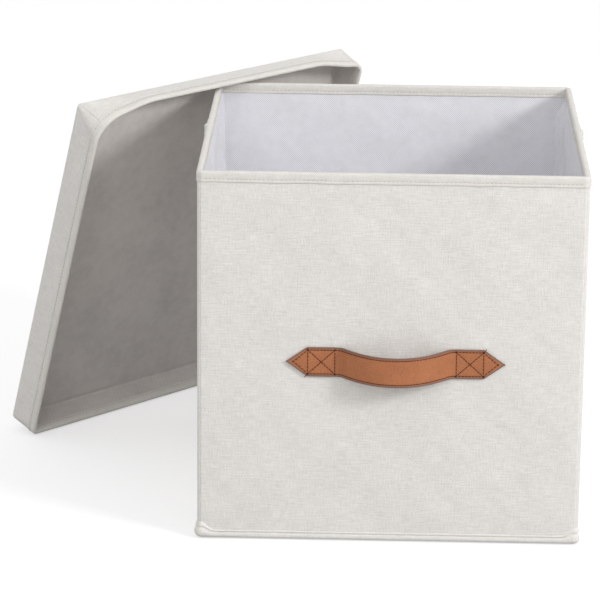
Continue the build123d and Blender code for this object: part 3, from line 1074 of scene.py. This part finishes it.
def strap_layer(name, near, material, node_name, sewn):
    """One layer of the strap, pressed in along its sewn lines and rounded at its edges."""
    run = np.linspace(-strap_run, strap_run, 281)[None, :]
    share = np.linspace(-1, 1, 37)[:, None]
    across = share * (strap_width(run) - (0 if sewn else 0.35 * MM))
    edge = strap_width(run) * (1 - np.abs(share))
    pressed = 0.22 * MM * bell(to_seam(run, across), 0.7 * MM) * sewn
    crown = 0.12 * MM * smooth_step(edge / (2.5 * MM)) * sewn
    lift = near + STRAP_LAYER - 0.12 * MM + crown - pressed
    flat = grid(run, across)
    piece = surface(name, strap_point(run, across, lift), flat)
    margin = piece.data.attributes.new("to_edge", "FLOAT", "POINT")
    margin.data.foreach_set("value", np.broadcast_to(edge, across.shape).astype(np.float32).ravel())
    thicken(piece, STRAP_LAYER - 0.15 * MM, rounding=0.28 * MM, sharp=60)
    finish_piece(piece, material, "front", [node_name])


def handle():
    """The strap's two layers and all its stitching."""
    strap_layer("strap_backing", 0.05 * MM, STRAP_BACK, "handle_backing", 0)
    strap_layer("strap_face", STRAP_LAYER, STRAP_FACE, "handle_strap", 1)
    top = 2 * STRAP_LAYER + 0.02 * MM
    lines = []
    for (x0, y0), (x1, y1) in strap_seams():
        share = np.linspace(0, 1, 60 if abs(x1 - x0) > BOX_WIDTH * 2 else 12)
        lines.append(strap_point(x0 + share * (x1 - x0), y0 + share * (y1 - y0), top))
    for side in (-1, 1):
        tail = np.array(((box_far, box_far + 1.9 * MM), (stitch_high, stitch_high + 2.3 * MM))) * side
        lines.append(strap_point(*tail, top))
    sizes = (2.7 * MM, 2.75 * MM, 0.7 * MM)
    piece = stitched("strap_stitches", lines, BROWN_THREAD, "handle_thread", "front", *sizes)
    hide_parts("handle_stitching")


handle()


# ---------------------------------------------------------------- lid

LID_CLOTH = 0.6 * MM
HEM_DROP = 9.0 * MM
LID_INSIDE = 3.6 * MM
HEM_INSIDE = 4.2 * MM
BEND_LENGTH = 64.0 * MM


def lid_axes():
    """The lid's own frame from its panel board's corners: origin, along its foot, up its panel, opening."""
    corners = np.array([list(v.co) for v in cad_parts["lid_panel_board"].data.vertices])
    corners = np.unique(np.round(corners, 6), axis=0)
    lowest = corners[np.argsort(corners[:, 2])[:2]]
    start, stop = lowest[np.argsort(lowest[:, 0])]
    along = (stop - start) / np.linalg.norm(stop - start)
    level = corners[np.abs((corners - start) @ along) < 1e-4]
    level = level[np.argsort(np.linalg.norm(level - start, axis=1))]
    opening = (start - level[1]) / np.linalg.norm(start - level[1])
    up_panel = (level[2] - start) / np.linalg.norm(level[2] - start)
    inset = 2 * LID_CLOTH
    origin = level[1] - inset * (along + up_panel) - LID_CLOTH * opening
    side = np.linalg.norm(stop - start) + 2 * inset
    return origin, along, up_panel, opening, side


lid_origin, lid_along, lid_up, lid_opening, LID_SIDE = lid_axes()
hem_points = np.array([list(v.co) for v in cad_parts["lid_hem"].data.vertices])
LID_DEPTH = float(((hem_points - lid_origin) @ lid_opening).max())
lid_lean = math.asin(-lid_opening[2])


def lid_point(x, y, z):
    """Points of the lid from its own distances along, up and out of its open side."""
    x, y, z = np.broadcast_arrays(x, y, z)
    return lid_origin + x[..., None] * lid_along + y[..., None] * lid_up + z[..., None] * lid_opening


def bent_up(x, y, z, share=1.0):
    """The top skirt hangs over the bin's rim: it is bent up in its middle and square at its ends."""
    from_end = np.minimum(x, LID_SIDE - x) - 4.3 * MM
    turn = lid_lean * smooth_step(from_end / BEND_LENGTH) * (y > LID_SIDE / 2) * share
    rise, depth = y - LID_SIDE, z
    y = LID_SIDE + rise * np.cos(turn) + depth * np.sin(turn)
    return x, y, depth * np.cos(turn) - rise * np.sin(turn)


# Corner radii at the panel and at the hem: bottom left, bottom right, top right, top left
PANEL_RADII = np.array((5.0, 4.0, 4.0, 4.0)) * MM
HEM_RADII = np.array((6.0, 6.0, 13.0, 27.0)) * MM
SIDE_STEPS = np.concatenate(
    [[0, 0.001, 0.0022, 0.004, 0.007, 0.011, 0.016, 0.022, 0.03, 0.04, 0.053], np.linspace(0.068, 0.5, 40)]
)
SIDE_STEPS = np.concatenate([SIDE_STEPS, 1 - SIDE_STEPS[-2::-1]])


def lid_ring(inset, depth):
    """Points round the lid at an inset and a depth, their way out, and how far each is past its corner."""
    share = min(max((depth - 1 * MM) / (27 * MM), 0.0), 1.0)
    radii = np.maximum(PANEL_RADII + share * (HEM_RADII - PANEL_RADII) - inset, 0.4 * MM)
    half = LID_SIDE / 2 - inset
    places, outward, past_corner = [], [], []
    for quarter in range(4):
        first, last = radii[quarter], radii[(quarter + 1) % 4]
        arcs = (first * math.pi / 4, last * math.pi / 4)
        total = 2 * half - first - last + sum(arcs)
        axes = quarter_turn(quarter)
        for s in SIDE_STEPS[:-1] * total:
            if s < arcs[0]:
                angle = math.pi / 4 - s / first
                way = np.array([-math.sin(angle), -math.cos(angle)])
                place = np.array([first - half, first - half]) + first * way
            elif s > total - arcs[1]:
                angle = (s - total + arcs[1]) / last
                way = np.array([math.sin(angle), -math.cos(angle)])
                place = np.array([half - last, last - half]) + last * way
            else:
                way = np.array([0.0, -1.0])
                place = np.array([first - half + s - arcs[0], -half])
            places.append(place @ axes + LID_SIDE / 2)
            outward.append(way @ axes)
            past_corner.append(s if s < total / 2 else s - total)
    return np.array(places), np.array(outward), np.array(past_corner)


def mitre(past_corner):
    """How far the outer cloth stands out at a corner's mitre: a fold line with a lip on one side."""
    lip = 0.35 * MM * np.exp(-np.clip(past_corner, 0, None) / (7 * MM)) * (past_corner > 0)
    return lip - 0.75 * MM * bell(past_corner, 0.55 * MM)


def coons(edge, count):
    """Fills the inside of a ring of four equal sides with a grid whose border is the ring."""
    bottom, right = edge[: count + 1], edge[count : 2 * count + 1]
    top = edge[2 * count : 3 * count + 1][::-1]
    left = np.concatenate([edge[3 * count :], edge[:1]])[::-1]
    s, t = SIDE_STEPS[None, :, None], SIDE_STEPS[:, None, None]
    ruled = (1 - t) * bottom[None] + t * top[None] + (1 - s) * left[:, None] + s * right[:, None]
    flat = (1 - s) * (1 - t) * edge[0] + s * (1 - t) * edge[count]
    return ruled - flat - s * t * edge[2 * count] - (1 - s) * t * edge[3 * count]


def lid_tray(name, rows, floor_depth, lift, inner):
    """A cloth of the lid: its floor, and its skirts as rings from the floor's edge to the opening."""
    count = len(SIDE_STEPS) - 1
    ring, _, _ = lid_ring(*rows[0])
    floor = coons(ring, count)
    depth = floor_depth + lift(floor[..., 0], floor[..., 1])
    points = [lid_point(floor[..., 0], floor[..., 1], depth).reshape(-1, 3)]
    numbers = np.arange((count + 1) ** 2).reshape(count + 1, count + 1)
    border = np.concatenate([numbers[0, :-1], numbers[:-1, -1], numbers[-1, :0:-1], numbers[:0:-1, 0]])
    orders, flats = [border], [ring]
    first, travelled, before = numbers.size, 0.0, rows[0]
    for row in rows[1:]:
        place, outward, past_corner = lid_ring(*row)
        travelled += math.hypot(row[0] - before[0], row[1] - before[1])
        before = row
        edge_share = float(smooth_step(row[1] / floor_depth - 0.5)) if inner else 1.0
        if not inner:
            fold = mitre(past_corner) * float(smooth_step(row[1] / (3 * MM)))
            place = place + outward * fold[:, None]
        points.append(lid_point(*bent_up(place[:, 0], place[:, 1], row[1], edge_share)))
        orders.append(np.arange(first, first + len(place)))
        flats.append(ring + outward * travelled)
        first += len(place)
    order = np.stack(orders)
    flat = np.stack(flats)
    order = np.concatenate([order, order[:, :1]], axis=1)
    flat = np.concatenate([flat, flat[:, :1]], axis=1)
    if inner:
        patches = [(numbers, floor), (order[:, ::-1], flat[:, ::-1])]
    else:
        patches = [(numbers[:, ::-1], floor[:, ::-1]), (order, flat)]
    return faced(name, np.concatenate(points), patches)


def finish_lid(piece, material, stands_for):
    """A lid cloth is cut as a square of its panel and skirts, without the four corner squares."""
    thicken(piece, CLOTH, sharp=65)
    finish_piece(piece, material, "lid", [stands_for])


def from_lid_edge(x, y):
    """How far a place on the lid's panel is from the nearest side."""
    return np.minimum(np.minimum(x, LID_SIDE - x), np.minimum(y, LID_SIDE - y))


def lid_cover():
    """The lid's outer cloth, over its back and its four skirts."""
    skirt = [(0.0, d * MM) for d in (2.0, 5.0, 9.0, 13.0, 17.0, 21.0, 24.0, 27.0)]
    skirt = [(1.6 * MM, 0.0), (0.7 * MM, 0.25 * MM), (0.2 * MM, 0.9 * MM), *skirt]
    skirt = [(inset + LID_CLOTH, depth) for inset, depth in skirt]

    def lift(x, y):
        edge = from_lid_edge(x, y)
        soft = 0.25 * waviness(x, y, 100 * MM, 401) + 0.1 * waviness(x, y, 25 * MM, 402)
        return (0.3 + soft) * MM * -smooth_step((edge - 3 * MM) / (12 * MM))

    piece = lid_tray("lid_cloth", skirt, 0.15 * MM, lift, inner=False)
    finish_lid(piece, COVER_LINEN, "lid_cover")


def lid_lining():
    """The lid's inner cloth, over its panel and the inside of its skirts."""
    floor = 3.0 * MM
    rows = [(1.2 * MM, floor), (0.3 * MM, floor + 0.25 * MM), (0.0, floor + 1.1 * MM)]
    rows += [(0.0, d * MM) for d in (6.0, 9.0, 13.0, 17.0, 21.0, 24.0, 27.0)]
    rows = [(inset + LID_INSIDE, depth) for inset, depth in rows]

    def lift(x, y):
        edge = from_lid_edge(x, y)
        soft = 0.4 * waviness(x, y, 110 * MM, 411) + 0.1 * waviness(x, y, 30 * MM, 412)
        return (0.8 + soft) * MM * smooth_step((edge - 4.8 * MM) / (4 * MM))

    piece = lid_tray("lid_inner_cloth", rows, floor, lift, inner=True)
    # Its finish carries painted shade and painted bounce light.
    finish_lid(piece, LID_LINING_PAINTED_SHADE, "lid_lining")


def lid_band(name, section, material, stands_for, thickness, sharp=70):
    """A band that runs round the lid's skirts, from its section of insets and depths."""
    rings = [lid_ring(inset, depth) for inset, depth in section]
    x = np.stack([places[:, 0] for places, _, _ in rings])
    y = np.stack([places[:, 1] for places, _, _ in rings])
    z = np.array([depth for _, depth in section])[:, None]
    flat = rim_flat(np.array(section), closed_run(*rings[0][0].T))
    piece = surface(name, lid_point(*bent_up(x, y, z)), flat, around=True)
    thicken(piece, thickness, sharp=sharp)
    finish_piece(piece, material, "lid", stands_for)
    return piece


def lid_hem():
    """The hem folded over the skirts' edges, with a row of stitches outside and inside."""
    start, edge, inside = LID_DEPTH - HEM_DROP, LID_DEPTH, HEM_INSIDE
    leaf = ((0.55, 0.3), (0.18, -0.05), (0.0, 0.3), (-0.04, 1.2), (0.0, 2.0), (0.12, 2.4), (0.0, 2.8))
    turn = np.array(((-0.03, 4.5), (0.03, 6.6), (0.4, 8.1), (1.2, 8.85)))
    half = np.concatenate([leaf, turn]) * MM
    section = [(inset, start + depth) for inset, depth in half]
    section += [(inside / 2, edge)]
    section += [(inside - inset, start + depth) for inset, depth in half[::-1]]
    piece = lid_band("lid_hem_cloth", section, HEM_LINEN, ["lid_hem"], CLOTH)
    lines = []
    for inset in (-0.08 * MM, inside + 0.08 * MM):
        place, _, _ = lid_ring(inset, start + 2.4 * MM)
        place = np.concatenate([place, place[:1]])
        lines.append(lid_point(*bent_up(place[:, 0], place[:, 1], start + 2.4 * MM)))
    stitched("lid_hem_stitches", lines, CREAM_THREAD, "cover_cloth", "lid")


def lid_boards():
    """The stiffeners inside the lid's skirts, eased at the corners where the cloth is pulled across."""
    section = [(1.35 * MM, depth * MM) for depth in (3.2, 10.0, 17.0, 24.0, 31.6)]
    nodes = [f"lid_{side}_skirt_board" for side in ("top", "bottom", "left", "right")]
    lid_band("lid_skirt_boards", section, BOARD, nodes, 1.4 * MM, sharp=40)
    ring, _, _ = lid_ring(1.7 * MM, 0.0)
    board = coons(ring, len(SIDE_STEPS) - 1)[:, ::-1]
    points = lid_point(board[..., 0], board[..., 1], LID_CLOTH + 0.1 * MM)
    piece = thicken(surface("lid_panel_stiffener", points, board), 1.6 * MM, sharp=40)
    finish_piece(piece, BOARD, "lid", ["lid_panel_board"])


lid_cover()
lid_lining()
lid_boards()
lid_hem()

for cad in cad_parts.values():
    if not cad.hide_render:
        cad.data.materials.clear()
        cad.data.materials.append(BOARD)


# ---------------------------------------------------------------- studio


def floor():
    """A plain pale floor, lifted to white where the camera sees it."""
    material, tree, shader = blank("studio floor", 0.9)
    place = in_space(tree)
    patches = use(tree, MOTTLE, Place=place, Patch=2.0)["Tone"]
    toned(tree, shader, (0.5,) * 3, (0.54,) * 3, patches, 0.5)
    seen = node(tree, "ShaderNodeLightPath").outputs["Is Camera Ray"]
    shader.inputs["Emission Color"].default_value = (1.0, 1.0, 1.0, 1.0)
    tree.links.new(calc(tree, "MULTIPLY", seen, 0.55), shader.inputs["Emission Strength"])
    mesh = bpy.data.meshes.new("studio_floor")
    corners = [(x, y, -MM) for x, y in ((-12, -12), (12, -12), (12, 12), (-12, 12))]
    mesh.from_pydata(corners, [], [(0, 1, 2, 3)])
    mesh.materials.append(material)
    placed("studio_floor", mesh)


def lamp(name, place, target, size, power):
    """A square soft light that points at a place."""
    data = bpy.data.lights.new(name, "AREA")
    data.size = size
    data.energy = power
    lamp_object = placed(name, data)
    lamp_object.location = place
    lamp_object.rotation_euler = (Vector(target) - Vector(place)).to_track_quat("-Z", "Y").to_euler()


def studio():
    """A key light from the right, a wide soft light in front, a bright room, and a floor."""
    world = bpy.data.worlds.new("studio")
    world.use_nodes = True
    background = world.node_tree.nodes["Background"].inputs
    background["Color"].default_value = (1.0, 1.0, 1.0, 1.0)
    background["Strength"].default_value = 0.76
    bpy.context.scene.world = world
    lamp("key", (2.3, -1.6, 1.6), (0, 0, 0.15), 0.6, 44)
    lamp("front", (-0.8, -2.8, 1.8), (0, 0, 0.15), 2.0, 15)
    floor()
    bpy.context.scene.view_settings.view_transform = "Standard"


def camera():
    """A long lens a little above the bin, turned very slightly to the left."""
    data = bpy.data.cameras.new("camera")
    data.sensor_width = 36.0
    data.lens = 192.0
    data.clip_end = 100.0
    seen = placed("camera", data)
    yaw, pitch, roll = (math.radians(a) for a in (1.479, -16.989, -0.532))
    turned = (
        Matrix.Rotation(yaw, 4, "Z")
        @ Matrix.Rotation(math.pi / 2 + pitch, 4, "X")
        @ Matrix.Rotation(-roll, 4, "Z")
    )
    seen.matrix_world = Matrix.Translation((-0.0104, -2.7491, 1.006)) @ turned
    bpy.context.scene.camera = seen


studio()
camera()
